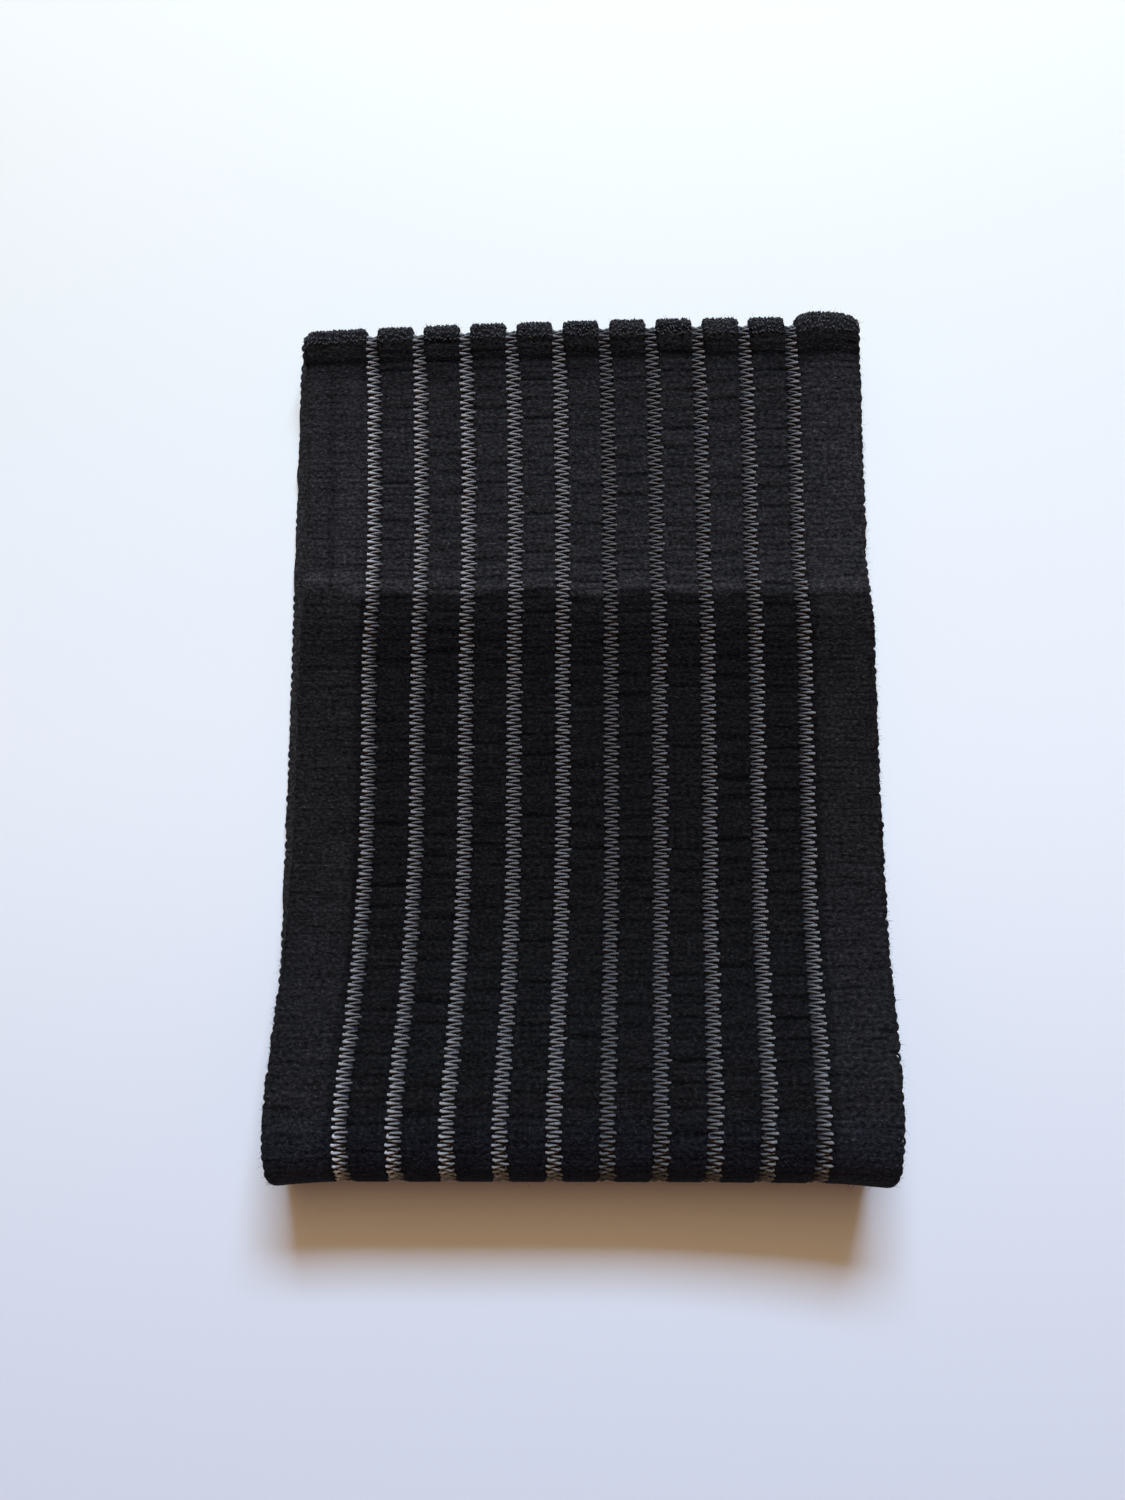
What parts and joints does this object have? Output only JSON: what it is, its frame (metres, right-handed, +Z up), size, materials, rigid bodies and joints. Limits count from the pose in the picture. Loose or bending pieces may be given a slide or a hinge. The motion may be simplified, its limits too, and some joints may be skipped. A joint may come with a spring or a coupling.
{
  "type": "wrist wrap",
  "caption": "Wide ribbed elastic wrist wrap lying folded in half, with a rounded springy fold, a sewn hem and a hidden hook closure patch between its layers.",
  "frame": {"origin": "on the table under the middle of the folded wrap", "axes": "+Z up from the table; +X across the band; +Y from the rounded fold towards the sewn hem"},
  "size_m": [0.083, 0.117, 0.0178],
  "materials": {
    "ribbed_elastic": "matte knitted elastic",
    "hook_tape": "matte hook tape"
  },
  "bodies": {
    "root": {"elastic_band": "ribbed_elastic", "hook_patch": "hook_tape"}
  },
  "joints": []
}
